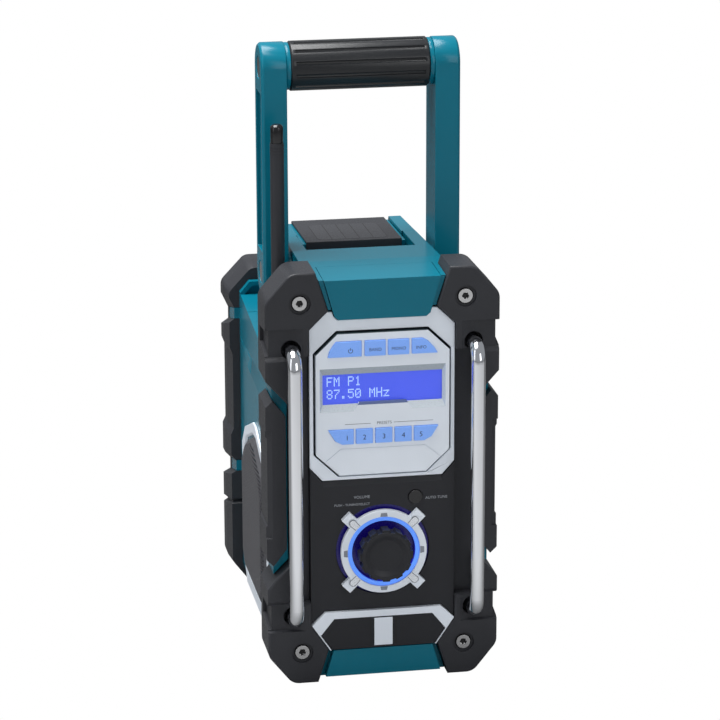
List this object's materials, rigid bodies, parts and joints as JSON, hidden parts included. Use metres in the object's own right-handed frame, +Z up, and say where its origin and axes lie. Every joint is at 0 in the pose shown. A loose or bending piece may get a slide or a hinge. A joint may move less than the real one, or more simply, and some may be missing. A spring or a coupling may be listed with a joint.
{
  "type": "jobsite radio",
  "caption": "Tall rugged jobsite radio with rubber corner guards, chrome guard rails, a folding carrying handle, a lit display, a push-and-turn knob and side speakers.",
  "frame": {"origin": "on the floor, midway between the two sides and midway between the front of the guard rails and the back of the rear guards", "axes": "+X to the right as seen from the front, +Y towards the back, +Z up; the display faces -Y"},
  "size_m": [0.163, 0.252, 0.4382],
  "materials": {
    "teal_plastic": "satin",
    "black_plastic": "satin",
    "silver_plastic": "satin",
    "display_glass": "gloss",
    "display_blue": "gloss",
    "glow_blue": "gloss",
    "button_blue": "satin",
    "steel": "satin",
    "chrome": "polished",
    "black_rubber": "matte",
    "gloss_black": "gloss",
    "grille_metal": "satin",
    "board_green": "satin"
  },
  "bodies": {
    "cabinet": {"front_cabinet": "teal_plastic", "rear_cabinet": "teal_plastic", "deck": "teal_plastic", "latch_pocket": "teal_plastic", "lower_lip": "teal_plastic", "socket_box": "teal_plastic", "bay_front": "teal_plastic", "bay_floor": "teal_plastic", "bay_sides": "teal_plastic", "bay_sill": "teal_plastic", "crown": "teal_plastic", "front_panel": "black_plastic", "display_bezel": "silver_plastic", "display_panel": "silver_plastic", "lcd_window": "display_glass", "lcd_module": "display_blue", "arch_trim": "silver_plastic", "lower_plate": "teal_plastic", "socket_plate": "black_plastic", "input_sockets": "steel", "knob_ring": "silver_plastic", "light_ring": "glow_blue", "encoder": "black_plastic", "front_guard_left": "black_rubber", "front_guard_right": "black_rubber", "rear_guard_left": "black_rubber", "rear_guard_right": "black_rubber", "guard_screws": "steel", "guard_rail_left": "chrome", "guard_rail_right": "chrome", "side_pad_left": "black_rubber", "side_pad_right": "black_rubber", "speaker_frame_left": "silver_plastic", "speaker_frame_right": "silver_plastic", "speaker_grille_left": "grille_metal", "speaker_grille_right": "grille_metal", "speaker_driver_left": "black_plastic", "speaker_driver_right": "black_plastic", "antenna_base": "black_plastic", "antenna_rod": "black_rubber", "antenna_cap": "gloss_black", "pivot_bolts": "steel", "battery_terminal": "black_plastic", "circuit_board": "board_green", "door_hinge_pin": "steel"},
    "handle": {"handle_arm_left": "teal_plastic", "handle_arm_right": "teal_plastic", "grip_core": "teal_plastic", "grip_sleeve": "black_rubber", "grip_screws": "steel"},
    "knob_plunger": {"encoder_shaft": "steel"},
    "knob": {"knob": "black_plastic"},
    "tune_button": {"tune_button": "gloss_black"},
    "flap": {"input_flap": "black_plastic", "flap_tab": "silver_plastic"},
    "door": {"battery_door": "teal_plastic"},
    "latch": {"latch": "teal_plastic", "latch_pad": "black_rubber"},
    "button_1": {"button_1": "button_blue"},
    "button_2": {"button_2": "button_blue"},
    "button_3": {"button_3": "button_blue"},
    "button_4": {"button_4": "button_blue"},
    "preset_1": {"preset_1": "button_blue"},
    "preset_2": {"preset_2": "button_blue"},
    "preset_3": {"preset_3": "button_blue"},
    "preset_4": {"preset_4": "button_blue"},
    "preset_5": {"preset_5": "button_blue"}
  },
  "joints": [
    {"name": "handle_fold", "type": "hinge", "parent": "cabinet", "child": "handle", "pos_m": [0, -0.007, 0.2743], "axis": [1, 0, 0], "range_deg": [-90, 0]},
    {"name": "knob_press", "type": "slide", "parent": "cabinet", "child": "knob_plunger", "axis": [0, 1, 0], "range_m": [0, 0.0008], "stiffness_N_per_m": 400, "springref_m": -0.001},
    {"name": "knob_turn", "type": "hinge", "parent": "knob_plunger", "child": "knob", "pos_m": [0, 0, 0.0955], "axis": [0, 1, 0], "continuous": true},
    {"name": "button_1_press", "type": "slide", "parent": "cabinet", "child": "button_1", "axis": [0, 1, 0], "range_m": [0, 0.0008], "stiffness_N_per_m": 300, "springref_m": -0.001},
    {"name": "button_2_press", "type": "slide", "parent": "cabinet", "child": "button_2", "axis": [0, 1, 0], "range_m": [0, 0.0008], "stiffness_N_per_m": 300, "springref_m": -0.001},
    {"name": "button_3_press", "type": "slide", "parent": "cabinet", "child": "button_3", "axis": [0, 1, 0], "range_m": [0, 0.0008], "stiffness_N_per_m": 300, "springref_m": -0.001},
    {"name": "button_4_press", "type": "slide", "parent": "cabinet", "child": "button_4", "axis": [0, 1, 0], "range_m": [0, 0.0008], "stiffness_N_per_m": 300, "springref_m": -0.001},
    {"name": "preset_1_press", "type": "slide", "parent": "cabinet", "child": "preset_1", "axis": [0, 1, 0], "range_m": [0, 0.0008], "stiffness_N_per_m": 300, "springref_m": -0.001},
    {"name": "preset_2_press", "type": "slide", "parent": "cabinet", "child": "preset_2", "axis": [0, 1, 0], "range_m": [0, 0.0008], "stiffness_N_per_m": 300, "springref_m": -0.001},
    {"name": "preset_3_press", "type": "slide", "parent": "cabinet", "child": "preset_3", "axis": [0, 1, 0], "range_m": [0, 0.0008], "stiffness_N_per_m": 300, "springref_m": -0.001},
    {"name": "preset_4_press", "type": "slide", "parent": "cabinet", "child": "preset_4", "axis": [0, 1, 0], "range_m": [0, 0.0008], "stiffness_N_per_m": 300, "springref_m": -0.001},
    {"name": "preset_5_press", "type": "slide", "parent": "cabinet", "child": "preset_5", "axis": [0, 1, 0], "range_m": [0, 0.0008], "stiffness_N_per_m": 300, "springref_m": -0.001},
    {"name": "tune_press", "type": "slide", "parent": "cabinet", "child": "tune_button", "axis": [0, 1, 0], "range_m": [0, 0.0008], "stiffness_N_per_m": 300, "springref_m": -0.001},
    {"name": "flap_hinge", "type": "hinge", "parent": "cabinet", "child": "flap", "pos_m": [0, -0.1049, 0.0247], "axis": [1, 0, 0], "range_deg": [0, 90]},
    {"name": "door_hinge", "type": "hinge", "parent": "cabinet", "child": "door", "pos_m": [0, 0.1082, 0.012], "axis": [-1, 0, 0], "range_deg": [0, 90]},
    {"name": "latch_lift", "type": "hinge", "parent": "door", "child": "latch", "pos_m": [0, 0.074, 0.2825], "axis": [-1, 0, 0], "range_deg": [0, 60]}
  ]
}
